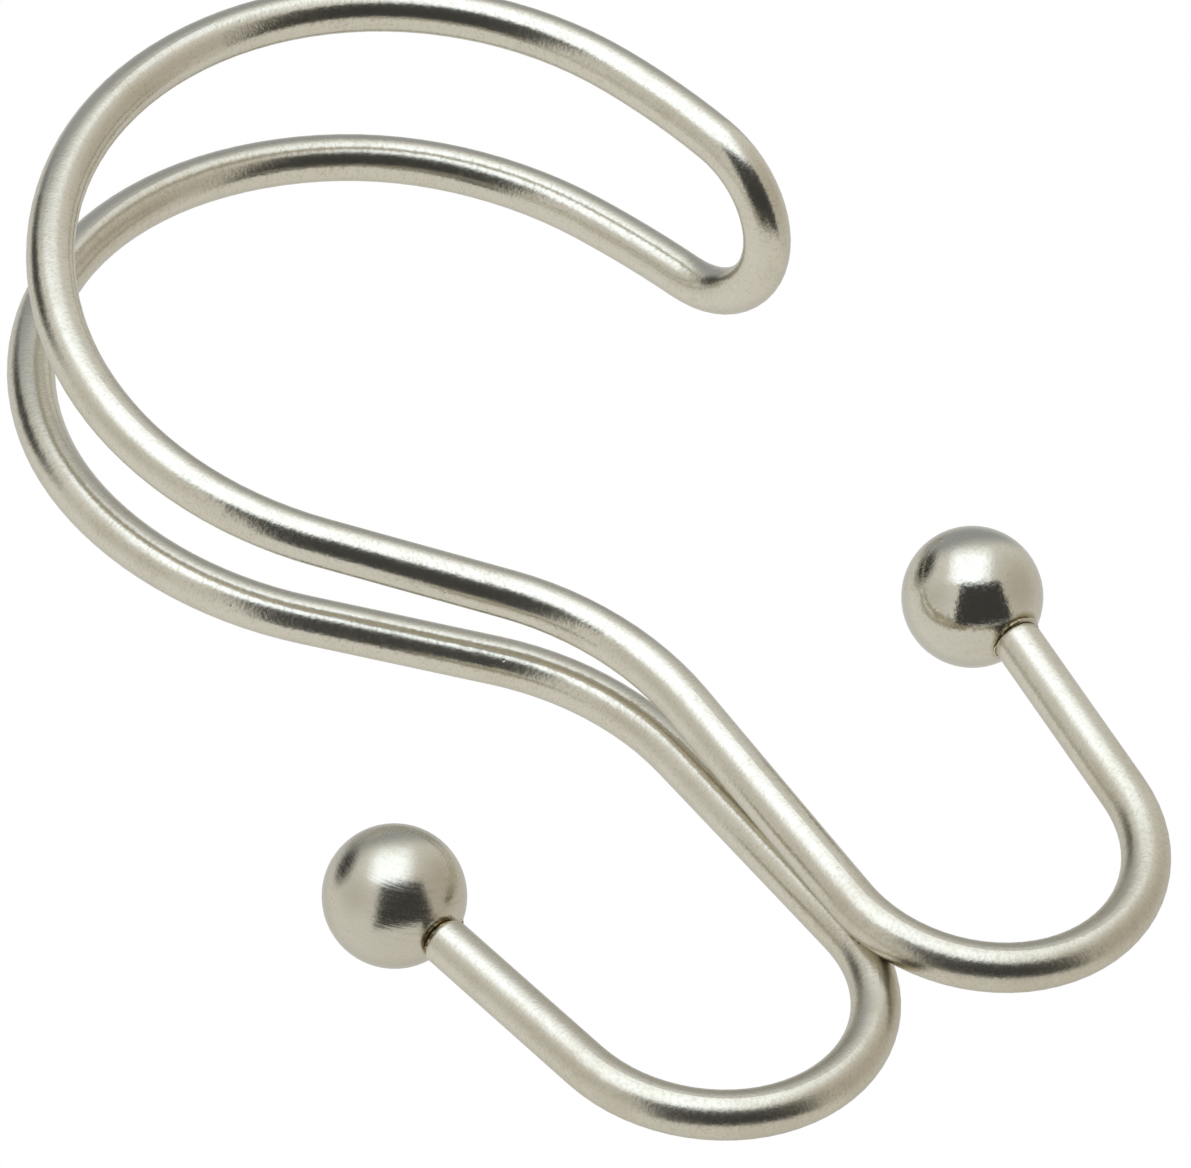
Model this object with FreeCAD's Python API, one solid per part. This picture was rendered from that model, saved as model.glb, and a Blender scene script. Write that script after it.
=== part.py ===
"""Double shower curtain hook: one hairpin of round wire with a ball on each end.

The row stands as the hook hangs. +Z is up, Y runs along the curtain rod and +X
is the front. The origin is the centre of the main rod bend. Lengths are in
millimetres and angles are in degrees.
"""
import math
import os

import FreeCAD
import Part

# Wire and balls
WIRE_DIAMETER = 2.8
BALL_DIAMETER = 8.1
# Space on the leg's axis between wire end and ball. Below zero the ball is flattened
# against the wire end; above zero a stem of weld metal fills the space
FRONT_BALL_GAP = -0.07
REAR_BALL_GAP = 0.2
BALL_STEM_DIAMETER = 1.8
# The front ball is welded a little off the axis of its leg
FRONT_BALL_SHIFT_X = -0.57
FRONT_BALL_SHIFT_Y = 0.33
# Edge break left by cutting the wire to length
WIRE_END_BREAK = 0.12

# Side profile of the two legs, from the closed tip of the hairpin to the weld
TIP_LENGTH = 7.4
TIP_TURN = 9.1
CROWN_RADIUS = 20.1
CROWN_TURN = 47.9
BACK_RADIUS = 22.2
BACK_TURN = 91.2
HEEL_RADIUS = 19.9
HEEL_TURN = 63.5
NECK_LENGTH = 11.0
SHOULDER_RADIUS = 16.4
SHOULDER_TURN = 43.7
SHANK_LENGTH = 16.0

# Closed tip: the bend that joins the legs, and how far each leg splays from it
TIP_BEND_RADIUS = 5.62
TIP_SPLAY = 3.8

# Clear gap between the legs at equal steps along the profile
CROWN_GAP = 9.33
BACK_GAP = 7.54
HEEL_GAP = 4.35
NECK_GAP = 2.18
# How far the legs are sunk into each other by the weld at the foot of the shank, and
# the angle at which each leg closes in on the other there
WELD_SINK = 0.2
WELD_CLOSING_ANGLE = 2.65

# The two small hooks, front and rear
HOOK_RADIUS = 9.21
HOOK_TURN = 174.0
HOOK_LEAN = 2.5
# Straight part of a small hook, up to its ball
HOOK_LEG_LENGTH = 12.07

# Longest stretch of a leg that is drawn as one pair of arcs
STRETCH = 18.0

# Derived
WIRE_RADIUS = WIRE_DIAMETER / 2.0
BALL_RADIUS = BALL_DIAMETER / 2.0
C_TURN = TIP_TURN + CROWN_TURN + BACK_TURN + HEEL_TURN
START_HEADING = -90.0 - (C_TURN - SHOULDER_TURN)


def profile_runs():
    """List the runs of the side profile.

    Returns:
        (length, signed turn in degrees) for each run, tip first.
    """
    return [
        (TIP_LENGTH, TIP_TURN),
        (CROWN_RADIUS * math.radians(CROWN_TURN), CROWN_TURN),
        (BACK_RADIUS * math.radians(BACK_TURN), BACK_TURN),
        (HEEL_RADIUS * math.radians(HEEL_TURN), HEEL_TURN),
        (NECK_LENGTH, 0.0),
        (SHOULDER_RADIUS * math.radians(SHOULDER_TURN), -SHOULDER_TURN),
        (SHANK_LENGTH, 0.0),
    ]


def step_along(x, z, heading, length, turn):
    """Move along one arc or straight.

    Args:
        x, z: where the run starts.
        heading: its direction there, in radians.
        length: how far to go.
        turn: how much the direction turns on the way, in radians.

    Returns:
        x, z and heading at the end.
    """
    if abs(turn) < 1e-9:
        return x + length * math.cos(heading), z + length * math.sin(heading), heading
    radius = length / turn
    after = heading + turn
    x_after = x + radius * (math.sin(after) - math.sin(heading))
    z_after = z - radius * (math.cos(after) - math.cos(heading))
    return x_after, z_after, after


def profile_stations():
    """Walk the side profile.

    Returns:
        List of (distance, x, z, heading) from the tip to the weld, and the total length.
    """
    x = 0.0
    z = 0.0
    heading = math.radians(START_HEADING)
    distance = 0.0
    stations = [(0.0, x, z, heading)]
    centre = (0.0, 0.0)
    for index, (length, turn_degrees) in enumerate(profile_runs()):
        turn = math.radians(turn_degrees)
        if index == 2:
            # Centre of the main bend, where the row has its origin
            centre = (x - BACK_RADIUS * math.sin(heading), z + BACK_RADIUS * math.cos(heading))
        count = max(1, int(math.ceil(length / STRETCH)))
        for number in range(count):
            x, z, heading = step_along(x, z, heading, length / count, turn / count)
            distance += length / count
            stations.append((distance, x, z, heading))
    moved = [(s, px - centre[0], pz - centre[1], h) for s, px, pz, h in stations]
    return moved, distance


def half_spread(distance, total):
    """Half the distance between the centre lines of the legs.

    Args:
        distance: how far along the profile from the tip.
        total: length of the whole profile.

    Returns:
        The value and the slope of a smooth curve through the stated gaps, which
        are one fifth of the profile apart.
    """
    values = [TIP_BEND_RADIUS * math.cos(math.radians(TIP_SPLAY))]
    for gap in (CROWN_GAP, BACK_GAP, HEEL_GAP, NECK_GAP, -WELD_SINK):
        values.append(gap / 2.0 + WIRE_RADIUS)
    pitch = total / (len(values) - 1)
    slopes = [math.tan(math.radians(TIP_SPLAY))]
    for index in range(1, len(values) - 1):
        slopes.append((values[index + 1] - values[index - 1]) / (2.0 * pitch))
    slopes.append(-math.tan(math.radians(WELD_CLOSING_ANGLE)))
    index = min(int(distance / pitch), len(values) - 2)
    t = distance / pitch - index
    value = (
        values[index] * (2 * t ** 3 - 3 * t ** 2 + 1)
        + slopes[index] * pitch * (t ** 3 - 2 * t ** 2 + t)
        + values[index + 1] * (3 * t ** 2 - 2 * t ** 3)
        + slopes[index + 1] * pitch * (t ** 3 - t ** 2)
    )
    slope = (
        (values[index + 1] - values[index]) / pitch * (6 * t - 6 * t ** 2)
        + slopes[index] * (1 - 4 * t + 3 * t ** 2)
        + slopes[index + 1] * (3 * t ** 2 - 2 * t)
    )
    return value, slope


def unit(vector):
    """Return a copy of a vector with length 1."""
    copy = FreeCAD.Vector(vector)
    copy.normalize()
    return copy


def leg_points(side):
    """Find the points that one leg of the hairpin passes through.

    Args:
        side: -1 for the leg that ends in the front hook, 1 for the other.

    Returns:
        List of (point, direction) from the tip to the weld.
    """
    stations, total = profile_stations()
    points = []
    for distance, x, z, heading in stations:
        spread, slope = half_spread(distance, total)
        direction = FreeCAD.Vector(math.cos(heading), side * slope, math.sin(heading))
        points.append((FreeCAD.Vector(x, side * spread, z), unit(direction)))
    return points


def arc_from(start, direction, end):
    """Draw the arc that leaves one point in a given direction and ends at another.

    Args:
        start, direction: where it starts, and its direction there.
        end: where it ends.

    Returns:
        The arc as an edge, or a straight edge where there is nothing to bend.
    """
    chord = end - start
    aside = chord - direction * chord.dot(direction)
    if aside.Length < 1e-5:
        return Part.LineSegment(start, end).toShape()
    radius = chord.Length ** 2 / (2.0 * aside.Length)
    centre = start + unit(aside) * radius
    middle = centre + unit((start + end) * 0.5 - centre) * radius
    return Part.Arc(start, middle, end).toShape()


def leg_arcs(points):
    """Join the points of a leg by pairs of arcs that meet smoothly.

    Args:
        points: the (point, direction) list of the leg.

    Returns:
        List of (edge, start point, direction there).
    """
    arcs = []
    for (start, first), (end, last) in zip(points[:-1], points[1:]):
        span = end - start
        along = span.dot(first + last)
        spare = 2.0 * (1.0 - first.dot(last))
        square = span.dot(span)
        reach = square / (along + math.sqrt(along ** 2 + spare * square))
        middle = (start + end + (first - last) * reach) * 0.5
        turned = unit(end - last * reach - start - first * reach)
        arcs.append((arc_from(start, first, middle), start, first))
        arcs.append((arc_from(middle, turned, end), middle, turned))
    return arcs


def tip_bend(start_a, start_b):
    """Draw the bend that closes the hairpin.

    Args:
        start_a, start_b: first points of the two legs.

    Returns:
        The bend as an edge, from the first leg to the second.
    """
    heading = math.radians(START_HEADING)
    along = FreeCAD.Vector(math.cos(heading), 0.0, math.sin(heading))
    middle = (start_a + start_b) * 0.5
    reach = TIP_BEND_RADIUS * (1.0 - math.sin(math.radians(TIP_SPLAY)))
    apex = middle - along * reach
    return Part.Arc(start_a, apex, start_b).toShape()


def small_hook(start, tangent, side, gap):
    """Draw one small hook and its straight leg.

    Args:
        start: last point of the long leg.
        tangent: direction there.
        side: -1 for the front hook, which turns to +X, 1 for the rear one.
        gap: space between the wire end and its ball.

    Returns:
        The hook edge, the leg edge, the leg's end point and its direction.
    """
    lean = math.radians(HOOK_LEAN)
    towards = FreeCAD.Vector(-side * math.cos(lean), side * math.sin(lean), 0.0)
    towards = unit(towards - tangent * towards.dot(tangent))

    def on_hook(angle):
        reach = tangent * (math.sin(angle) * HOOK_RADIUS)
        return start + reach + towards * ((1.0 - math.cos(angle)) * HOOK_RADIUS)

    turn = math.radians(HOOK_TURN)
    corner = on_hook(turn)
    away = unit(tangent * math.cos(turn) + towards * math.sin(turn))
    end = corner + away * (HOOK_LEG_LENGTH - gap)
    bend = Part.Arc(start, on_hook(turn / 2.0), corner).toShape()
    leg = Part.LineSegment(corner, end).toShape()
    return bend, leg, end, away


def bent_run(edge, point, tangent):
    """Give one arc or straight its thickness.

    Args:
        edge: the centre line.
        point, tangent: one end of it.

    Returns:
        The run as a solid.
    """
    circle = Part.Wire([Part.Circle(point, tangent, WIRE_RADIUS).toShape()])
    return Part.Wire([edge]).makePipeShell([circle], True, False)


def cut_run(edge, point, tangent):
    """Give the last straight its thickness and break the rim of its cut end.

    Args:
        edge: the centre line.
        point, tangent: the cut end of it.

    Returns:
        The run as a solid.
    """
    solid = bent_run(edge, point, tangent)
    rims = [e for e in solid.Edges if e.CenterOfMass.distanceToPoint(point) < 0.01]
    return solid.makeChamfer(WIRE_END_BREAK, rims)


def ball(end, away, gap, shift_x, shift_y):
    """Make one ball, down to the cut end of the wire.

    Args:
        end: centre of the wire end.
        away: direction out of the wire end.
        gap: space between the wire end and the ball.
        shift_x, shift_y: how far the ball sits off the wire's axis.

    Returns:
        The ball, with a small flat or a short stem on the wire end.
    """
    across = FreeCAD.Vector(0, 1, 0)
    across = unit(across - away * across.dot(away))
    forward = across.cross(away)
    height = BALL_RADIUS + gap
    foot = end + forward * shift_x + across * shift_y
    centre = foot + away * height
    low = -math.degrees(math.asin(min(1.0, height / BALL_RADIUS)))
    sphere = Part.makeSphere(BALL_RADIUS, centre, away, low, 90.0, 360.0)
    if gap <= 0.0:
        return sphere
    reach = gap + BALL_RADIUS / 4.0
    stem = Part.makeCylinder(BALL_STEM_DIAMETER / 2.0, reach, foot, away)
    return sphere.fuse(stem)


def main():
    """Build each piece and write it out."""
    front_points = leg_points(-1)
    rear_points = leg_points(1)
    front_start, front_first = front_points[0]
    front_foot, front_last = front_points[-1]
    rear_foot, rear_last = rear_points[-1]
    tip = tip_bend(front_start, rear_points[0][0])
    front_bend, front_straight, front_end, front_away = small_hook(
        front_foot, front_last, -1, FRONT_BALL_GAP
    )
    rear_bend, rear_straight, rear_end, rear_away = small_hook(
        rear_foot, rear_last, 1, REAR_BALL_GAP
    )
    front_runs = leg_arcs(front_points)
    front_runs.append((tip, front_start, front_first * -1.0))
    front_runs.append((front_bend, front_foot, front_last))
    rear_runs = leg_arcs(rear_points)
    rear_runs.append((rear_bend, rear_foot, rear_last))
    front = [bent_run(edge, point, tangent) for edge, point, tangent in front_runs]
    front.append(cut_run(front_straight, front_end, front_away))
    rear = [bent_run(edge, point, tangent) for edge, point, tangent in rear_runs]
    rear.append(cut_run(rear_straight, rear_end, rear_away))
    wire = front[0].multiFuse(front[1:])
    wire = wire.multiFuse([rear[0].multiFuse(rear[1:])])
    front_shift = (FRONT_BALL_SHIFT_X, FRONT_BALL_SHIFT_Y)
    pieces = {
        "hook_wire": wire,
        "front_ball": ball(front_end, front_away, FRONT_BALL_GAP, *front_shift),
        "rear_ball": ball(rear_end, rear_away, REAR_BALL_GAP, 0.0, 0.0),
    }
    os.makedirs("parts", exist_ok=True)
    for name, shape in pieces.items():
        if shape.ShapeType == "Compound" and len(shape.Solids) == 1:
            shape = shape.Solids[0]
        box = shape.BoundBox
        print(name, shape.ShapeType, len(shape.Solids), shape.isValid(), len(shape.Faces))
        print("  volume", round(shape.Volume, 2), "x", round(box.XMin, 2), round(box.XMax, 2))
        print("  y", round(box.YMin, 2), round(box.YMax, 2), "z", round(box.ZMin, 2), round(box.ZMax, 2))
        shape.exportStep("parts/" + name + ".step")


main()
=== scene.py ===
"""Looks of the double shower curtain hook: satin nickel wire and balls in a light tent.

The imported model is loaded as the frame, and lengths are in metres. +Z is up, Y runs
along the curtain rod and +X is the front.
"""
import logging
import math
from dataclasses import dataclass
from enum import Enum
from typing import Callable, Optional, Sequence, Union

import bpy
from mathutils import Matrix, Vector


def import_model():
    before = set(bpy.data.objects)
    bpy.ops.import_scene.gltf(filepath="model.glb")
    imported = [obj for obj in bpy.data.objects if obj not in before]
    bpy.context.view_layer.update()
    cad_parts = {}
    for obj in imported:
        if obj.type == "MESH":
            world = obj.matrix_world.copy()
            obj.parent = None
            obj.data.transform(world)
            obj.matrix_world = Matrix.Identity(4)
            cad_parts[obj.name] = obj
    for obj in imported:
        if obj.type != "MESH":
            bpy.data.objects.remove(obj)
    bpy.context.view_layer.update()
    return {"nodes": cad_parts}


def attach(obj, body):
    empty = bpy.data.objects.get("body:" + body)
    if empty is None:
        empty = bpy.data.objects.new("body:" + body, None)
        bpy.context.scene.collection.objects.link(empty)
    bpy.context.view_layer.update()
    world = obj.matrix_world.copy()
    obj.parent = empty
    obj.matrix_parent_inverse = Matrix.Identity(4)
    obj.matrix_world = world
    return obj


log = logging.getLogger("curtain_hook")

Triple = tuple[float, float, float]
Span = tuple[float, float]
Socket = bpy.types.NodeSocket
Wired = Union[Socket, float, Triple]

IMAGE_WIDTH = 1191
MM = 0.001
TINY = 1e-9
ZERO: Triple = (0.0, 0.0, 0.0)
FRONT_END: Triple = (15.212 * MM, -2.669 * MM, -37.193 * MM)
REAR_END: Triple = (-24.000 * MM, 2.655 * MM, -37.461 * MM)
REAR_BALL: Triple = (-24.444 * MM, 2.870 * MM, -33.240 * MM)
SHANK_FOOT: Triple = (-4.41 * MM, 0.0, -49.9 * MM)


class NodeSheet:
    """Adds the nodes of one shader and joins them."""

    def __init__(self, tree: bpy.types.NodeTree) -> None:
        """Take over a node tree and empty it.

        Args:
            tree: the node tree of a material or of the world.
        """
        self.tree = tree
        tree.nodes.clear()

    def add(self, kind: str, **settings: object) -> bpy.types.Node:
        """Add a node.

        Args:
            kind: the node's type without its "ShaderNode" start.
            settings: properties to set on the node.

        Returns:
            The new node.
        """
        node = self.tree.nodes.new("ShaderNode" + kind)
        for name, value in settings.items():
            setattr(node, name, value)
        return node

    def feed(self, socket: Socket, value: Wired) -> None:
        """Join a socket to another one, or set its value.

        Args:
            socket: the input to feed.
            value: an output socket, a number or a colour.
        """
        if isinstance(value, bpy.types.NodeSocket):
            self.tree.links.new(value, socket)
        elif isinstance(value, tuple) and socket.type == "RGBA":
            socket.default_value = (*value, 1.0)
        else:
            socket.default_value = value

    def math(self, operation: str, first: Wired, second: Wired = 0.0) -> Socket:
        """Add a Math node.

        Args:
            operation: what it does.
            first: its first number.
            second: its second number, where it takes two.

        Returns:
            The result.
        """
        node = self.add("Math", operation=operation)
        self.feed(node.inputs[0], first)
        self.feed(node.inputs[1], second)
        return node.outputs[0]

    def total(self, *parts: Wired) -> Socket:
        """Add numbers up.

        Args:
            parts: two numbers or more.

        Returns:
            Their sum.
        """
        result = parts[0]
        for part in parts[1:]:
            result = self.math("ADD", result, part)
        return result

    def scaled(self, value: Wired, factor: Wired) -> Socket:
        """Multiply two numbers."""
        return self.math("MULTIPLY", value, factor)

    def length(self, first: Socket, second: Socket, least: float = 0.0) -> Socket:
        """Measure a slanted way from its two parts.

        Args:
            first: how far it goes one way.
            second: how far it goes the other way.
            least: added to the sum of the squares, so that it never is zero.

        Returns:
            The length.
        """
        squares = self.total(self.scaled(first, first), self.scaled(second, second), least)
        return self.math("SQRT", squares)

    def vector(self, operation: str, first: Wired, second: Wired) -> bpy.types.Node:
        """Add a Vector Math node.

        Args:
            operation: what it does.
            first: its first vector.
            second: its second vector.

        Returns:
            The node.
        """
        node = self.add("VectorMath", operation=operation)
        self.feed(node.inputs[0], first)
        self.feed(node.inputs[1], second)
        return node

    def along(self, place: Socket, way: Triple) -> Socket:
        """Measure how far a place lies along a direction."""
        return self.vector("DOT_PRODUCT", place, way).outputs["Value"]

    def distance(self, place: Socket, centre: Triple) -> Socket:
        """Measure how far a place lies from a point."""
        return self.vector("DISTANCE", place, centre).outputs["Value"]

    def split(self, place: Socket) -> Sequence[Socket]:
        """Take a vector apart.

        Args:
            place: the vector.

        Returns:
            Its three numbers.
        """
        node = self.add("SeparateXYZ")
        self.feed(node.inputs[0], place)
        return node.outputs

    def join(self, *numbers: Socket) -> Socket:
        """Join three numbers to a vector.

        Args:
            numbers: the three.

        Returns:
            The vector.
        """
        node = self.add("CombineXYZ")
        for socket, number in zip(node.inputs, numbers):
            self.feed(socket, number)
        return node.outputs[0]

    def ramp(self, value: Wired, low: float, high: float,
             start: float = 0.0, end: float = 1.0) -> Socket:
        """Turn a number into a smooth step.

        Args:
            value: the number.
            low: where the step starts.
            high: where the step ends.
            start: the result below low.
            end: the result above high.

        Returns:
            The stepped number.
        """
        node = self.add("MapRange", interpolation_type="SMOOTHSTEP")
        self.feed(node.inputs["Value"], value)
        limits = {"From Min": low, "From Max": high, "To Min": start, "To Max": end}
        for name, number in limits.items():
            node.inputs[name].default_value = number
        return node.outputs[0]

    def mix(self, share: Wired, first: Wired, second: Wired) -> Socket:
        """Mix two colours.

        Args:
            share: how much of the second one is taken, from 0 to 1.
            first: a colour.
            second: another colour.

        Returns:
            The mixed colour.
        """
        node = self.add("Mix", data_type="RGBA")
        colours = [socket for socket in node.inputs if socket.type == "RGBA"]
        self.feed(node.inputs[0], share)
        self.feed(colours[0], first)
        self.feed(colours[1], second)
        return next(socket for socket in node.outputs if socket.type == "RGBA")

    def noise(self, place: Socket, scale: float, detail: float = 2.0,
              roughness: float = 0.5) -> Socket:
        """Add a Noise Texture.

        Args:
            place: the coordinates.
            scale: cells per metre.
            detail: how many finer layers it has.
            roughness: how strong they are.

        Returns:
            A number about 0.5.
        """
        node = self.add("TexNoise")
        self.feed(node.inputs["Vector"], place)
        node.inputs["Scale"].default_value = scale
        node.inputs["Detail"].default_value = detail
        node.inputs["Roughness"].default_value = roughness
        return node.outputs[0]

    def bump(self, height: Socket, depth: float, under: Optional[Socket] = None) -> Socket:
        """Add a bump, over another one if there is one.

        Args:
            height: the relief, from 0 to 1.
            depth: how deep it is, in metres.
            under: the normal below it.

        Returns:
            The bumped normal.
        """
        node = self.add("Bump")
        node.inputs["Distance"].default_value = depth
        self.feed(node.inputs["Height"], height)
        if under is not None:
            self.feed(node.inputs["Normal"], under)
        return node.outputs[0]

    def surface(self, metallic: float) -> bpy.types.Node:
        """Add the shader that a material shows.

        Args:
            metallic: 1 for bare metal and 0 for anything else.

        Returns:
            The shader's node.
        """
        node = self.add("BsdfPrincipled")
        node.inputs["Metallic"].default_value = metallic
        self.feed(self.add("OutputMaterial").inputs["Surface"], node.outputs[0])
        return node


def new_material(name: str) -> tuple[bpy.types.Material, NodeSheet, Socket]:
    """Start a material.

    Args:
        name: what it is called.

    Returns:
        The material, its nodes and its Object coordinates.
    """
    material = bpy.data.materials.new(name)
    material.use_nodes = True
    sheet = NodeSheet(material.node_tree)
    return material, sheet, sheet.add("TexCoord").outputs["Object"]


@dataclass(frozen=True)
class Viewpoint:
    """Where the photograph is taken from: a long lens, below and beside the hook."""

    stand: Triple = (-0.328935, -0.461816, -0.360509)
    target: Triple = (0.003649, 0.008129, -0.014551)
    roll: float = 41.8887
    focal_pixels: float = 11598.76
    sensor: float = 36.0
    nearest: float = 0.01

    def axes(self) -> tuple[Vector, Vector, Vector]:
        """Work out the picture's own directions.

        Returns:
            Unit vectors to the right, up, and from the hook towards the camera.
        """
        ahead = (Vector(self.target) - Vector(self.stand)).normalized()
        level = ahead.cross(Vector((0.0, 0.0, 1.0))).normalized()
        above = level.cross(ahead)
        turn = math.radians(self.roll)
        up = above * math.cos(turn) + level * math.sin(turn)
        return ahead.cross(up), up, -ahead

    def build(self) -> None:
        """Create the camera and make it the scene's."""
        data = bpy.data.cameras.new("view_camera")
        data.sensor_width = self.sensor
        data.sensor_fit = "HORIZONTAL"
        data.lens = self.sensor * self.focal_pixels / IMAGE_WIDTH
        data.clip_start = self.nearest
        camera = bpy.data.objects.new("view_camera", data)
        bpy.context.scene.collection.objects.link(camera)
        right, up, back = self.axes()
        turned = Matrix((right, up, back)).transposed().to_4x4()
        camera.matrix_world = Matrix.Translation(self.stand) @ turned
        bpy.context.scene.camera = camera


@dataclass(frozen=True)
class Tone:
    """A pale grey, warmer or cooler."""

    level: float
    warmth: float = 0.0
    blue: float = 0.98
    blue_loss: float = 1.6

    def colour(self) -> Triple:
        """Work out the colour."""
        blue = self.blue - self.blue_loss * self.warmth
        return (self.level * (1.0 + self.warmth), self.level, self.level * blue)


@dataclass(frozen=True)
class Bearing:
    """Where a ray leaves for: degrees across the picture, and the angle to the camera."""

    x: Socket
    y: Socket
    angle: Socket


@dataclass(frozen=True)
class Region:
    """A part of the tent with a tone of its own."""

    tone: Tone

    def mask(self, sheet: NodeSheet, ray: Bearing) -> Wired:
        """Tell where it lies: 1 inside and 0 outside. Unless a kind says more, all over."""
        return 1.0


@dataclass(frozen=True)
class Behind(Region):
    """What lies beyond the hook, where rays go on away from the camera."""

    edge: Span
    share: float

    def mask(self, sheet: NodeSheet, ray: Bearing) -> Wired:
        """Fade in with the angle to the camera."""
        return sheet.ramp(ray.angle, *self.edge, 0.0, self.share)


@dataclass(frozen=True)
class Oval(Region):
    """An oval patch."""

    centre: Span
    reach: Span
    lean: float
    inner: float

    def mask(self, sheet: NodeSheet, ray: Bearing) -> Wired:
        """Draw the oval.

        Args:
            sheet: the world's nodes.
            ray: where a ray leaves for.

        Returns:
            1 inside the oval and 0 outside.
        """
        cos, sin = math.cos(math.radians(self.lean)), math.sin(math.radians(self.lean))
        wide, high = self.reach
        dx = sheet.total(ray.x, -self.centre[0])
        dy = sheet.total(ray.y, -self.centre[1])
        along = sheet.total(sheet.scaled(dx, cos / wide), sheet.scaled(dy, sin / wide))
        side = sheet.total(sheet.scaled(dx, -sin / high), sheet.scaled(dy, cos / high))
        return sheet.ramp(sheet.length(along, side), self.inner, 1.0, 1.0, 0.0)


@dataclass(frozen=True)
class Edge:
    """One straight side of a patch: the inside is where x a + y b + c > 0."""

    a: float
    b: float
    c: float
    soft: float = 4.0


@dataclass(frozen=True)
class Cutout(Region):
    """A patch with straight sides."""

    edges: tuple[Edge, ...]

    def mask(self, sheet: NodeSheet, ray: Bearing) -> Wired:
        """Draw the patch.

        Args:
            sheet: the world's nodes.
            ray: where a ray leaves for.

        Returns:
            1 inside the patch and 0 outside.
        """
        inside: Wired = 1.0
        for edge in self.edges:
            depth = sheet.total(sheet.scaled(ray.x, edge.a), sheet.scaled(ray.y, edge.b), edge.c)
            inside = sheet.scaled(sheet.ramp(depth, -edge.soft, edge.soft), inside)
        return inside


@dataclass(frozen=True)
class Roof(Region):
    """The darker roof, with a bent lower edge. It fades to the left and beyond the hook."""

    rise: float
    slant: float
    bend: float
    edge: Span
    left_edge: Span
    behind_edge: Span
    behind_share: float

    def mask(self, sheet: NodeSheet, ray: Bearing) -> Wired:
        """Draw the roof.

        Args:
            sheet: the world's nodes.
            ray: where a ray leaves for.

        Returns:
            1 on the roof and 0 below it.
        """
        slant = sheet.total(sheet.scaled(ray.x, self.slant),
                            sheet.scaled(sheet.math("ABSOLUTE", ray.x), self.bend))
        roof = sheet.ramp(sheet.total(sheet.scaled(ray.y, self.rise), slant), *self.edge)
        roof = sheet.scaled(roof, sheet.ramp(ray.x, *self.left_edge))
        return sheet.scaled(
            roof, sheet.ramp(ray.angle, *self.behind_edge, 1.0, self.behind_share))


@dataclass(frozen=True)
class LightTent:
    """The pale tent round the hook, seen only in reflections, and what shows through it."""

    fabric: Tone = Tone(0.83)
    fabric_far: Tone = Tone(0.76, 0.015)
    falling: Span = (0.7, -0.7)
    falling_span: Span = (-20.0, 120.0)
    behind: Behind = Behind(Tone(0.52, 0.01), (112.0, 150.0), 0.50)
    side: Oval = Oval(Tone(0.54, 0.055), (84.0, 17.0), (76.0, 96.0), 0.0, 0.1)
    left: Oval = Oval(Tone(0.64, 0.02), (-64.0, 0.0), (50.0, 52.0), 0.0, 0.0)
    roof: Roof = Roof(
        Tone(0.42, -0.05), rise=0.95, slant=-0.21, bend=0.09, edge=(74.0, 111.0),
        left_edge=(-118.0, -88.0), behind_edge=(132.0, 165.0), behind_share=0.2,
    )
    softbox: Cutout = Cutout(Tone(1.75, -0.085), (
        Edge(1.0, -0.10, 41.5, 14.0),
        Edge(-1.0, 0.15, 18.5, 15.0),
        Edge(0.05, -1.0, 79.5, 19.0),
        Edge(0.22, 1.0, -16.0, 7.0),
    ))
    stand: Oval = Oval(Tone(0.045), (-89.0, 55.0), (54.0, 28.0), 66.0, 0.3)
    opening: Cutout = Cutout(Tone(0.058), (
        Edge(1.0, -0.17, 24.5),
        Edge(-1.0, -0.38, 54.0),
        Edge(0.1034, -1.0, 22.2, 7.0),
        Edge(-0.10, 1.0, 49.0),
    ))

    def build(self, view: Viewpoint) -> None:
        """Write the tent into the world, with plain white for the camera itself.

        Args:
            view: gives the directions that the tent is laid out by.
        """
        world = bpy.data.worlds.new("light_tent")
        world.use_nodes = True
        bpy.context.scene.world = world
        sheet = NodeSheet(world.node_tree)
        ray = self._bearing(sheet, view)
        fall = sheet.total(sheet.scaled(ray.x, self.falling[0]),
                           sheet.scaled(ray.y, self.falling[1]))
        colour = sheet.mix(sheet.ramp(fall, *self.falling_span),
                           self.fabric.colour(), self.fabric_far.colour())
        layers: tuple[Region, ...] = (self.behind, self.side, self.left, self.roof,
                                      self.softbox, self.stand, self.opening)
        for layer in layers:
            colour = sheet.mix(layer.mask(sheet, ray), colour, layer.tone.colour())

        tent = sheet.add("Background")
        sheet.feed(tent.inputs["Color"], colour)
        plain = sheet.add("Background")
        plain.inputs["Color"].default_value = (1.0, 1.0, 1.0, 1.0)
        choice = sheet.add("MixShader")
        sheet.feed(choice.inputs[0], sheet.add("LightPath").outputs["Is Camera Ray"])
        sheet.feed(choice.inputs[1], tent.outputs[0])
        sheet.feed(choice.inputs[2], plain.outputs[0])
        sheet.feed(sheet.add("OutputWorld").inputs["Surface"], choice.outputs[0])

    def _bearing(self, sheet: NodeSheet, view: Viewpoint) -> Bearing:
        """Turn a ray's direction into degrees.

        Args:
            sheet: the world's nodes.
            view: gives the picture's own directions.

        Returns:
            Where the ray leaves for.
        """
        place = sheet.add("TexCoord").outputs["Generated"]
        across, rise, near = (sheet.along(place, tuple(way)) for way in view.axes())
        angle = sheet.scaled(sheet.math("ARCCOSINE", near), 180.0 / math.pi)
        share = sheet.math("DIVIDE", angle, sheet.length(across, rise, TINY))
        return Bearing(sheet.scaled(across, share), sheet.scaled(rise, share), angle)


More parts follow.
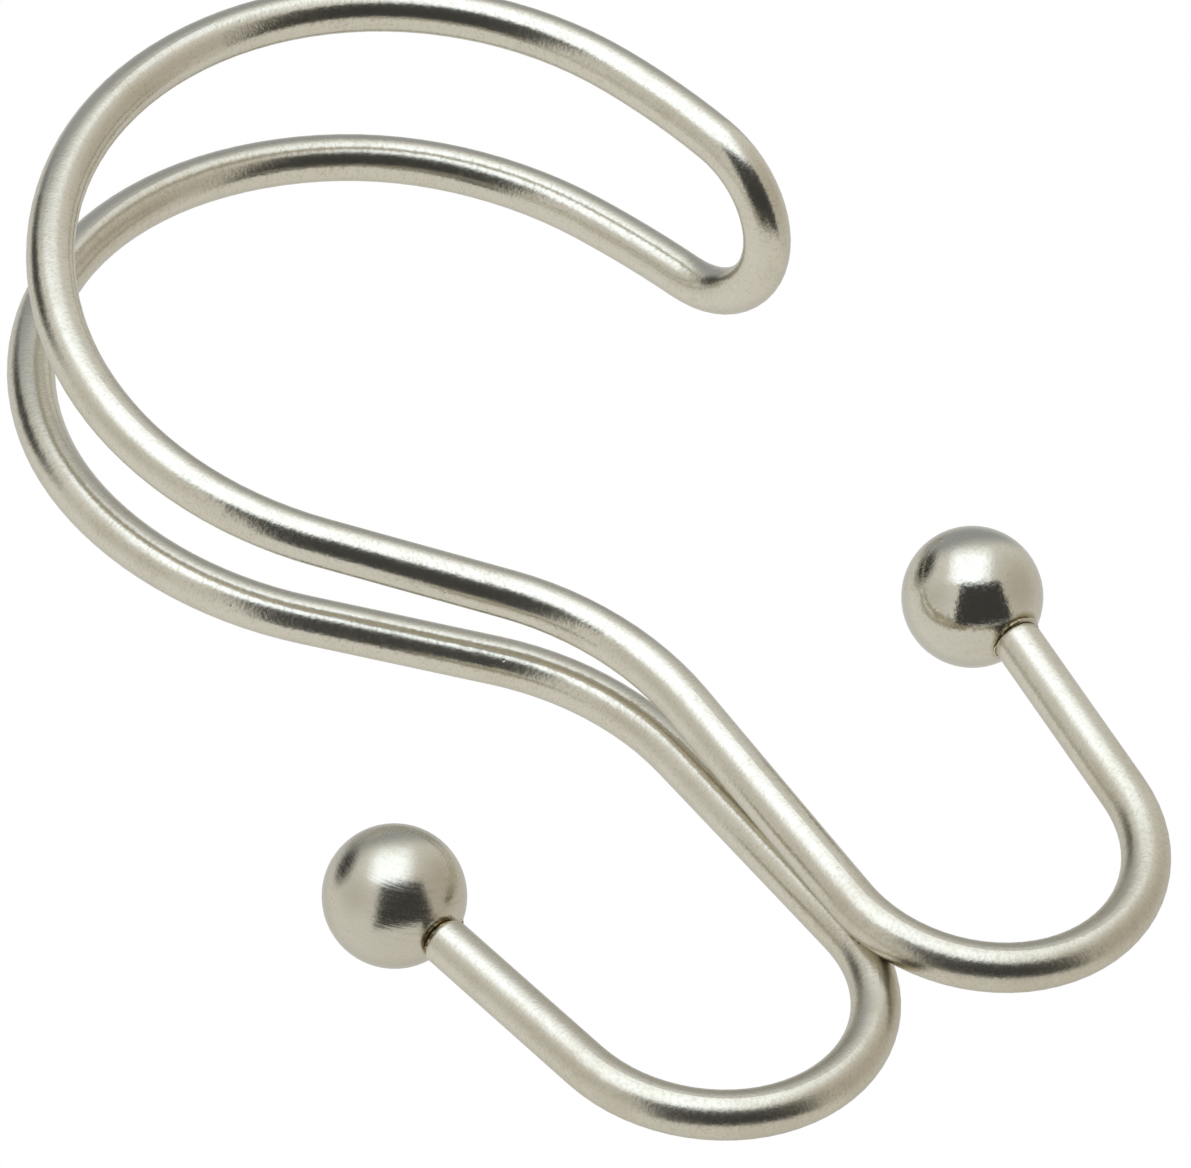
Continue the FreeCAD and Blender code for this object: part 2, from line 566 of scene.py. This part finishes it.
@dataclass(frozen=True)
class Floor:
    """A plain pale floor well below the hook, and the soft lamp that throws its shadow.

    The paper glows a little for the camera alone, so that it looks white.
    """

    height: float = -0.62
    radius: float = 2.5
    sides: int = 96
    paper: Triple = (0.86, 0.86, 0.85)
    paper_light: Triple = (0.90, 0.90, 0.89)
    paper_roughness: float = 0.9
    paper_glow: float = 0.22
    grain_scale: float = 40.0
    grain_detail: float = 3.0
    lamp_height: float = 1.6
    lamp_size: float = 1.2
    lamp_watts: float = 7.0

    def build(self) -> None:
        """Lay the floor and hang the lamp."""
        bpy.ops.object.select_all(action="DESELECT")
        bpy.ops.mesh.primitive_circle_add(vertices=self.sides, radius=self.radius,
                                          fill_type="NGON", location=(0.0, 0.0, self.height))
        floor = bpy.context.object
        floor.name = "floor"
        bpy.ops.object.transform_apply(location=True, rotation=False, scale=False)
        floor.data.materials.append(self._paper())
        floor.visible_glossy = False
        lamp = bpy.data.lights.new("overhead_lamp", "AREA")
        lamp.size = self.lamp_size
        lamp.energy = self.lamp_watts
        hung = bpy.data.objects.new("overhead_lamp", lamp)
        hung.location = (0.0, 0.0, self.lamp_height)
        hung.visible_glossy = False
        bpy.context.scene.collection.objects.link(hung)

    def _paper(self) -> bpy.types.Material:
        """Write the paper as nodes.

        Returns:
            The material.
        """
        material, sheet, place = new_material("floor_paper")
        paper = sheet.surface(0.0)
        paper.inputs["Roughness"].default_value = self.paper_roughness
        grain = sheet.noise(place, self.grain_scale, self.grain_detail)
        sheet.feed(paper.inputs["Base Color"], sheet.mix(grain, self.paper, self.paper_light))
        paper.inputs["Emission Color"].default_value = (1.0, 1.0, 1.0, 1.0)
        seen = sheet.add("LightPath").outputs["Is Camera Ray"]
        sheet.feed(paper.inputs["Emission Strength"], sheet.scaled(seen, self.paper_glow))
        return material


class Lay:
    """How the fine lines of a finish lie: evenly, unless a kind of lay says otherwise."""

    def place(self, sheet: NodeSheet, point: Socket) -> Socket:
        """Turn a point into one whose first number runs across the lines."""
        return point


@dataclass(frozen=True)
class TurnedLay(Lay):
    """Lines round an axis through a ball's centre."""

    centre: Triple
    axis: Triple

    def place(self, sheet: NodeSheet, point: Socket) -> Socket:
        """Lay the lines round the axis.

        Args:
            sheet: the material's nodes.
            point: Object coordinates.

        Returns:
            A vector whose first number runs along the axis.
        """
        axis = Vector(self.axis).normalized()
        side = axis.orthogonal().normalized()
        from_centre = sheet.vector("SUBTRACT", point, self.centre).outputs[0]
        ways = (axis, side, axis.cross(side))
        return sheet.join(*(sheet.along(from_centre, tuple(way)) for way in ways))


@dataclass(frozen=True)
class WireLay(Lay):
    """Lines round the wire, so the first number runs along its length.

    The side profile is followed stretch by stretch, from the rod bend down.
    """

    rod_radius: float = 21.0 * MM
    neck_top: float = -13.0 * MM
    neck_slope: float = -46.3
    shoulder_top: float = -20.9 * MM
    shoulder_centre: Span = (-20.81 * MM, -32.25 * MM)
    shoulder_radius: float = 16.4 * MM
    shank_top: float = -32.25 * MM
    shank_x: float = -4.41 * MM
    hook_top: float = -48.25 * MM
    hook_radius: float = 9.21 * MM

    def place(self, sheet: NodeSheet, point: Socket) -> Socket:
        """Lay the lines round the wire.

        Args:
            sheet: the material's nodes.
            point: Object coordinates.

        Returns:
            A vector whose first number runs along the wire.
        """
        x, y, z = sheet.split(point)
        cos = math.cos(math.radians(self.neck_slope))
        sin = math.sin(math.radians(self.neck_slope))
        neck = sheet.join(sheet.total(sheet.scaled(x, cos), sheet.scaled(z, sin)),
                          sheet.total(sheet.scaled(x, -sin), sheet.scaled(z, cos)), y)
        shoulder = self._bend(sheet, sheet.total(x, -self.shoulder_centre[0]),
                              sheet.total(z, -self.shoulder_centre[1]), y, self.shoulder_radius)
        from_shank = sheet.math("ABSOLUTE", sheet.total(x, -self.shank_x))
        hook = self._bend(sheet, sheet.total(from_shank, -self.hook_radius),
                          sheet.total(z, -self.hook_top), y, self.hook_radius)
        place = self._bend(sheet, x, z, y, self.rod_radius)
        for level, lower in ((self.neck_top, neck), (self.shoulder_top, shoulder),
                             (self.shank_top, sheet.join(z, x, y)), (self.hook_top, hook)):
            place = self._below(sheet, z, level, place, lower)
        return place

    def _bend(self, sheet: NodeSheet, x: Socket, z: Socket, y: Socket, radius: float) -> Socket:
        """Measure along a bend round the Y axis.

        Args:
            sheet: the material's nodes.
            x: place in front of the bend's centre.
            z: place above the bend's centre.
            y: place across the bend.
            radius: the bend's radius.

        Returns:
            Length along the bend, distance from its centre, and y.
        """
        turn = sheet.scaled(sheet.math("ARCTAN2", z, x), radius)
        return sheet.join(turn, sheet.length(x, z), y)

    def _below(self, sheet: NodeSheet, z: Socket, level: float,
               above: Socket, below: Socket) -> Socket:
        """Take one lay above a level and another one below it.

        Args:
            sheet: the material's nodes.
            z: height of the point.
            level: where the lays meet.
            above: the lay above it.
            below: the lay below it.

        Returns:
            The lay that holds at the point.
        """
        node = sheet.add("Mix", data_type="VECTOR")
        vectors = [socket for socket in node.inputs if socket.type == "VECTOR"]
        sheet.feed(node.inputs[0], sheet.math("LESS_THAN", z, level))
        sheet.feed(vectors[-2], above)
        sheet.feed(vectors[-1], below)
        return next(socket for socket in node.outputs if socket.type == "VECTOR")


@dataclass(frozen=True)
class SatinNickel:
    """Satin nickel plate: a pale warm metal with a fine grain and hair lines.

    Scales are cells per metre, and depths are in metres. What ends in shade darkens the
    metal, what ends in coarse roughens it, and a span is the part of a noise that counts.
    """

    name: str
    lay: Lay
    colour: Triple = (0.70, 0.665, 0.565)
    shade: Triple = (0.60, 0.555, 0.445)
    roughness: float = 0.21
    grain_span: Span = (0.48, 0.72)

    speckle_scale: float = 5400.0
    speckle_depth: float = 8.5e-6
    speckle_shade: float = 0.40
    speckle_coarse: float = 0.06
    speckle_coarse_span: Span = (0.46, 0.66)

    line_scale: float = 9000.0
    line_stretch: float = 5.0
    line_depth: float = 1e-6
    line_shade: float = 0.30
    line_coarse: float = 0.0
    line_coarse_span: Span = (0.46, 0.62)

    wave_scale: float = 1500.0
    wave_depth: float = 1e-5

    blotch_scale: float = 380.0
    blotch_detail: float = 3.0
    blotch_span: Span = (0.40, 0.70)
    blotch_shade: float = 0.30
    blotch_coarse: float = 0.05
    blotch_allowance: float = 0.03

    pit_scale: float = 1300.0
    pit_edge: Span = (0.06, 0.16)
    pit_rarity: Span = (0.80, 0.965)
    pit_rarity_reach: Span = (1.5 * MM, 6.0 * MM)
    pit_shade: float = 0.9
    pit_depth: float = 1e-5

    # The plate is made darker and rougher towards the foot of the hook, between these two
    # heights.
    foot_ramp_top: float = -42.0 * MM
    foot_ramp_bottom: float = -50.0 * MM
    foot_coarse: float = 0.0
    foot_darkening: float = 0.0

    welds: tuple[Triple, ...] = ()
    tint_colour: Triple = (0.33, 0.27, 0.15)
    tint_start: float = 1.38 * MM
    tint_end: float = 1.80 * MM
    tint_share: float = 0.9
    tint_wander: float = 0.9 * MM
    tint_coarse: float = 0.12

    def build(self) -> bpy.types.Material:
        """Write the finish as nodes.

        Returns:
            The material.
        """
        material, sheet, place = new_material(self.name)
        squeeze = 1.0 / self.line_stretch
        laid = sheet.vector("MULTIPLY", self.lay.place(sheet, place),
                            (1.0, squeeze, squeeze)).outputs[0]
        lines = sheet.noise(laid, self.line_scale, 1.0)
        speckle = sheet.noise(place, self.speckle_scale, 1.0)
        waves = sheet.noise(place, self.wave_scale)
        blotch = sheet.noise(place, self.blotch_scale, self.blotch_detail)
        pits = self._pits(sheet, place)
        heat = self._heat(sheet, place, blotch)
        foot_share = self._foot_ramp(sheet, place)

        metal = sheet.surface(1.0)
        tone = sheet.total(
            sheet.scaled(sheet.ramp(blotch, *self.blotch_span), self.blotch_shade),
            sheet.scaled(sheet.ramp(lines, *self.grain_span), self.line_shade),
            sheet.scaled(sheet.ramp(speckle, *self.grain_span), self.speckle_shade),
            sheet.scaled(pits, self.pit_shade),
            # Darker towards the foot of the hook.
            sheet.scaled(foot_share, self.foot_darkening),
        )
        colour = sheet.mix(sheet.ramp(tone, 0.0, 1.0), self.colour, self.shade)
        sheet.feed(metal.inputs["Base Color"], sheet.mix(heat, colour, self.tint_colour))
        rough = sheet.total(
            self.roughness - self.blotch_allowance,
            sheet.scaled(sheet.ramp(speckle, *self.speckle_coarse_span), self.speckle_coarse),
            sheet.scaled(sheet.ramp(lines, *self.line_coarse_span), self.line_coarse),
            sheet.scaled(blotch, self.blotch_coarse),
            sheet.scaled(heat, self.tint_coarse),
            sheet.scaled(foot_share, self.foot_coarse),
        )
        sheet.feed(metal.inputs["Roughness"], rough)
        normal: Optional[Socket] = None
        for height, depth in ((waves, self.wave_depth), (speckle, self.speckle_depth),
                              (lines, self.line_depth),
                              (sheet.scaled(pits, -1.0), self.pit_depth)):
            normal = sheet.bump(height, depth, normal)
        sheet.feed(metal.inputs["Normal"], normal)
        return material

    def _foot_ramp(self, sheet: NodeSheet, place: Socket) -> Socket:
        """Ramp up towards the foot of the hook, where the plate is made darker and rougher.

        Args:
            sheet: the material's nodes.
            place: Object coordinates.

        Returns:
            1 at the foot and 0 above it.
        """
        height = sheet.split(place)[2]
        return sheet.ramp(height, self.foot_ramp_bottom, self.foot_ramp_top, 1.0, 0.0)

    def _pits(self, sheet: NodeSheet, place: Socket) -> Socket:
        """Scatter a few small pits in the plate, more of them where the legs part.

        Args:
            sheet: the material's nodes.
            place: Object coordinates.

        Returns:
            1 in a pit and 0 elsewhere.
        """
        cells = sheet.add("TexVoronoi")
        sheet.feed(cells.inputs["Vector"], place)
        cells.inputs["Scale"].default_value = self.pit_scale
        near = sheet.ramp(cells.outputs["Distance"], *self.pit_edge, 1.0, 0.0)
        pick = sheet.add("SeparateColor")
        sheet.feed(pick.inputs[0], cells.outputs["Color"])
        away = sheet.distance(place, SHANK_FOOT)
        rare = sheet.ramp(away, *self.pit_rarity_reach, *self.pit_rarity)
        return sheet.scaled(near, sheet.math("GREATER_THAN", pick.outputs[0], rare))

    def _heat(self, sheet: NodeSheet, place: Socket, blotch: Socket) -> Wired:
        """Tint the metal brown near its welds.

        Args:
            sheet: the material's nodes.
            place: Object coordinates.
            blotch: breaks up the edge of the tint.

        Returns:
            The share of the tint at a weld, fading to 0.
        """
        heat: Wired = 0.0
        for weld in self.welds:
            away = sheet.distance(place, weld)
            away = sheet.total(away, sheet.scaled(sheet.total(blotch, -0.5), self.tint_wander))
            tint = sheet.ramp(away, self.tint_start, self.tint_end, self.tint_share, 0.0)
            heat = sheet.math("MAXIMUM", heat, tint)
        return heat


@dataclass(frozen=True)
class WeldMetal:
    """Bare weld metal: golden brown from the heat, dull and scaly, with a painted highlight that
    makes one side paler.
    """

    name: str
    centre: Triple
    # Painted highlight: the side of the weld metal towards this direction is painted in a paler
    # colour.
    painted_highlight_side: Triple = ZERO
    painted_highlight_start: float = 0.1 * MM
    painted_highlight_end: float = 0.9 * MM
    colour: Triple = (0.46, 0.38, 0.23)
    scale_colour: Triple = (0.13, 0.105, 0.065)
    painted_highlight_colour: Triple = (0.60, 0.565, 0.47)
    roughness: float = 0.32
    crust_scale: float = 3600.0
    crust_detail: float = 3.0
    crust_roughness: float = 0.6
    crust_span: Span = (0.42, 0.62)
    crust_coarse: float = 0.2
    crust_allowance: float = 0.08
    crust_depth: float = 4e-5

    def build(self) -> bpy.types.Material:
        """Write the finish as nodes.

        Returns:
            The material.
        """
        material, sheet, place = new_material(self.name)
        crust = sheet.noise(place, self.crust_scale, self.crust_detail, self.crust_roughness)
        metal = sheet.surface(1.0)
        colour = sheet.mix(sheet.ramp(crust, *self.crust_span), self.colour, self.scale_colour)
        # Painted highlight: one side of the weld metal is painted paler, fading in across the
        # given span.
        from_centre = sheet.vector("SUBTRACT", place, self.centre).outputs[0]
        aside = sheet.along(from_centre, self.painted_highlight_side)
        painted_highlight = sheet.ramp(aside, self.painted_highlight_start, self.painted_highlight_end)
        sheet.feed(metal.inputs["Base Color"], sheet.mix(painted_highlight, colour, self.painted_highlight_colour))
        rough = sheet.total(self.roughness - self.crust_allowance,
                            sheet.scaled(crust, self.crust_coarse))
        sheet.feed(metal.inputs["Roughness"], rough)
        sheet.feed(metal.inputs["Normal"], sheet.bump(crust, self.crust_depth))
        return material


class Bench:
    """Small modelling steps that every weld piece goes through."""

    def clear(self) -> None:
        """Deselect everything."""
        bpy.ops.object.select_all(action="DESELECT")

    def settle(self, name: str) -> bpy.types.Object:
        """Name the new piece and put its place into its mesh.

        Args:
            name: the piece's name.

        Returns:
            The piece.
        """
        piece = bpy.context.object
        piece.name = name
        piece.data.name = name
        bpy.ops.object.transform_apply(location=True, rotation=True, scale=True)
        return piece

    def pull(self, piece: bpy.types.Object, chosen: Callable[[Vector], bool], by: Vector) -> None:
        """Move the points of a piece that pass a test.

        Args:
            piece: the piece to shape.
            chosen: tells for a point whether it moves.
            by: how far they move.
        """
        for part in (piece.data.polygons, piece.data.edges):
            for item in part:
                item.select = False
        for point in piece.data.vertices:
            point.select = chosen(point.co)
        bpy.ops.object.mode_set(mode="EDIT")
        bpy.ops.mesh.select_mode(type="VERT")
        bpy.ops.transform.translate(value=tuple(by))
        bpy.ops.object.mode_set(mode="OBJECT")

    def roughen(self, piece: bpy.types.Object, size: float, depth: float) -> None:
        """Make a piece uneven and round it off.

        Args:
            piece: the piece to shape.
            size: how wide the lumps are.
            depth: how high they are.
        """
        bpy.context.view_layer.objects.active = piece
        lumps = bpy.data.textures.new(piece.name + "_lumps", "CLOUDS")
        lumps.noise_scale = size
        uneven = piece.modifiers.new("uneven", "DISPLACE")
        uneven.texture = lumps
        uneven.strength = depth
        uneven.mid_level = 0.5
        bpy.ops.object.modifier_apply(modifier=uneven.name)
        rounder = piece.modifiers.new("rounder", "SUBSURF")
        rounder.levels = 1
        rounder.render_levels = 1
        bpy.ops.object.modifier_apply(modifier=rounder.name)
        bpy.ops.object.shade_smooth()

    def finish(self, piece: bpy.types.Object, finish: bpy.types.Material, slot: str) -> None:
        """Dress a piece and fix it to the hook.

        Args:
            piece: the piece.
            finish: its material.
            slot: not used; it names the material slot of the part that the piece belongs to.
        """
        piece.data.materials.clear()
        piece.data.materials.append(finish)
        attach(piece, "root")


class Hook(Enum):
    """The two small hooks."""

    FRONT = "front"
    REAR = "rear"


@dataclass
class BallWeld:
    """The weld between a wire end and its ball: a ring of weld metal and the burred rim."""

    hook: Hook
    end: Triple
    away: Triple
    ring_radius: float
    ring_thickness: float
    ring_height: float
    burr_side: Triple
    burr_reach: float
    burr_spread: float
    ring_shift: Triple = ZERO
    ring_lumps: Span = (0.5 * MM, 0.13 * MM)
    rim_radius: float = 1.345 * MM
    rim_thickness: float = 0.05 * MM
    rim_height: float = -0.06 * MM
    rim_lumps: Span = (0.35 * MM, 0.06 * MM)
    burr_lift: float = 0.4
    sides: int = 60
    hoop_sides: int = 12

    def build(self) -> list[bpy.types.Object]:
        """Make the ring and the rim.

        Returns:
            The two pieces.
        """
        return [self._ring(), self._rim()]

    def dress(self, pieces: list[bpy.types.Object], weld: bpy.types.Material,
              plate: bpy.types.Material) -> None:
        """Give the ring its bare metal and the rim its plate."""
        Bench().finish(pieces[0], weld, "ball_metal")
        Bench().finish(pieces[1], plate, "wire_metal")

    def _hoop(self, radius: float, thickness: float, height: float, shift: Triple) -> None:
        """Lay a hoop round the wire's axis.

        Args:
            radius: of the hoop.
            thickness: half of the hoop's own.
            height: how far it lies beyond the wire end.
            shift: how far it sits off the axis.
        """
        axis = Vector(self.away).normalized()
        turn = axis.to_track_quat("Z", "Y").to_euler()
        centre = Vector(self.end) + axis * height + Vector(shift)
        Bench().clear()
        bpy.ops.mesh.primitive_torus_add(
            major_segments=self.sides, minor_segments=self.hoop_sides, major_radius=radius,
            minor_radius=thickness, rotation=tuple(turn), location=tuple(centre))

    def _ring(self) -> bpy.types.Object:
        """Make the ring of weld metal.

        Returns:
            The piece.
        """
        bench = Bench()
        self._hoop(self.ring_radius, self.ring_thickness, self.ring_height, self.ring_shift)
        ring = bench.settle(self.hook.value + "_weld_ring")
        bench.roughen(ring, *self.ring_lumps)
        return ring

    def _rim(self) -> bpy.types.Object:
        """Make the rim of the cut wire, with its burr.

        Returns:
            The piece.
        """
        bench = Bench()
        self._hoop(self.rim_radius, self.rim_thickness, self.rim_height, ZERO)
        rim = bench.settle(self.hook.value + "_wire_rim")
        side = Vector(self.burr_side).normalized()
        end = Vector(self.end)
        narrow = math.cos(math.radians(self.burr_spread))

        def on_burr(point: Vector) -> bool:
            """Tell whether a point lies on the burr."""
            return (point - end).normalized().dot(side) > narrow

        lift = Vector(self.away) * (self.burr_reach * self.burr_lift)
        bench.pull(rim, on_burr, side * self.burr_reach + lift)
        bench.roughen(rim, *self.rim_lumps)
        return rim


@dataclass
class ShankWeld:
    """The two small beads where the legs part at the foot of the shank."""

    centre: Triple = SHANK_FOOT
    reach: Triple = (-0.62 * MM, -0.09 * MM, 0.0)
    radius: float = 0.26 * MM
    stretch: Triple = (0.75, 0.9, 2.3)
    segments: int = 28
    rings: int = 18
    pit_out: float = 0.75
    pit_drop: float = 0.15 * MM
    pit_radius: float = 0.12 * MM
    pit_depth: float = 0.12 * MM
    lumps: Span = (0.3 * MM, 0.16 * MM)

    def build(self) -> list[bpy.types.Object]:
        """Make the bead on each side.

        Returns:
            The two pieces.
        """
        return [self._bead("shank_weld_left", 1.0), self._bead("shank_weld_right", -1.0)]

    def dress(self, pieces: list[bpy.types.Object], weld: bpy.types.Material) -> None:
        """Give the beads their bare metal."""
        for piece in pieces:
            Bench().finish(piece, weld, "wire_metal")

    def _bead(self, name: str, side: float) -> bpy.types.Object:
        """Make one bead: a lump drawn out along the seam, with a pit in its face.

        Args:
            name: the piece's name.
            side: 1 or -1, for the two sides of the seam.

        Returns:
            The piece.
        """
        bench = Bench()
        bench.clear()
        off = Vector(self.reach) * side
        centre = Vector(self.centre) + off
        bpy.ops.mesh.primitive_uv_sphere_add(segments=self.segments, ring_count=self.rings,
                                             radius=self.radius, location=tuple(centre))
        bpy.context.object.scale = self.stretch
        bead = bench.settle(name)
        out = off.normalized()
        pit = centre + out * self.radius * self.pit_out - Vector((0.0, 0.0, self.pit_drop))

        def in_pit(point: Vector) -> bool:
            """Tell whether a point lies in the pit."""
            return (point - pit).length < self.pit_radius

        bench.pull(bead, in_pit, out * -self.pit_depth)
        bench.roughen(bead, *self.lumps)
        return bead


WIRE_FINISH = SatinNickel(
    "wire_satin_nickel", WireLay(), foot_coarse=0.07, foot_darkening=0.35,
    welds=(FRONT_END, REAR_END), tint_start=1.22 * MM, tint_end=1.46 * MM,
)
FRONT_BALL_FINISH = SatinNickel(
    "front_ball_satin_nickel", Lay(), colour=(0.67, 0.64, 0.55), roughness=0.125,
    speckle_coarse=0.08, speckle_depth=7.5e-6, wave_depth=3e-6, welds=(FRONT_END,),
)
REAR_BALL_FINISH = SatinNickel(
    "rear_ball_satin_nickel", TurnedLay(REAR_BALL, (0.255, -0.952, 0.169)),
    colour=(0.64, 0.607, 0.512), roughness=0.20, speckle_coarse=0.05, speckle_depth=4e-6,
    line_scale=7500.0, line_stretch=20.0, line_depth=6e-6, line_coarse=0.05,
    wave_depth=4e-6, welds=(REAR_END,), tint_start=1.31 * MM, tint_end=1.50 * MM,
)
# The front weld metal has a painted highlight on one side.
FRONT_WELD_METAL = WeldMetal("front_weld_metal", FRONT_END, painted_highlight_side=(0.974, -0.197, -0.112))
REAR_WELD_METAL = WeldMetal("rear_weld_metal", REAR_END)
SHANK_WELD_METAL = WeldMetal("shank_weld_metal", SHANK_FOOT)
FRONT_BALL_WELD = BallWeld(
    Hook.FRONT, FRONT_END, (0.10443, -0.05053, 0.99325),
    ring_radius=1.27 * MM, ring_thickness=0.17 * MM, ring_height=0.20 * MM,
    ring_shift=(0.08 * MM, -0.05 * MM, 0.0),
    burr_side=(-0.849, 0.516, 0.116), burr_reach=0.12 * MM, burr_spread=34.0,
)
REAR_BALL_WELD = BallWeld(
    Hook.REAR, REAR_END, (-0.10443, 0.05053, 0.99325),
    ring_radius=1.08 * MM, ring_thickness=0.16 * MM, ring_height=0.16 * MM,
    burr_side=(0.770, -0.628, 0.113), burr_reach=0.16 * MM, burr_spread=9.0,
)


def dress(node: bpy.types.Object, finish: bpy.types.Material) -> None:
    """Put a finish in every material slot of a CAD node."""
    for slot in node.material_slots:
        slot.material = finish


def main() -> None:
    """Build the scene."""
    logging.basicConfig(level=logging.INFO, format="%(name)s: %(message)s")
    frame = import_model()
    bpy.context.scene.view_settings.view_transform = "Standard"
    view = Viewpoint()
    view.build()
    LightTent().build(view)
    Floor().build()

    wire_finish = WIRE_FINISH.build()
    front_finish = FRONT_BALL_FINISH.build()
    rear_finish = REAR_BALL_FINISH.build()
    made = [frame["nodes"][name] for name in ("hook_wire", "front_ball", "rear_ball")]
    for node, finish in zip(made, (wire_finish, front_finish, rear_finish)):
        dress(node, finish)

    for weld, metal in ((FRONT_BALL_WELD, FRONT_WELD_METAL), (REAR_BALL_WELD, REAR_WELD_METAL)):
        pieces = weld.build()
        weld.dress(pieces, metal.build(), wire_finish)
        made.extend(pieces)
    shank_weld = ShankWeld()
    beads = shank_weld.build()
    shank_weld.dress(beads, SHANK_WELD_METAL.build())
    made.extend(beads)
    for piece in made:
        log.info("%s: %d faces, %s", piece.name, len(piece.data.polygons),
                 piece.active_material.name)


if __name__ == "__main__":
    main()
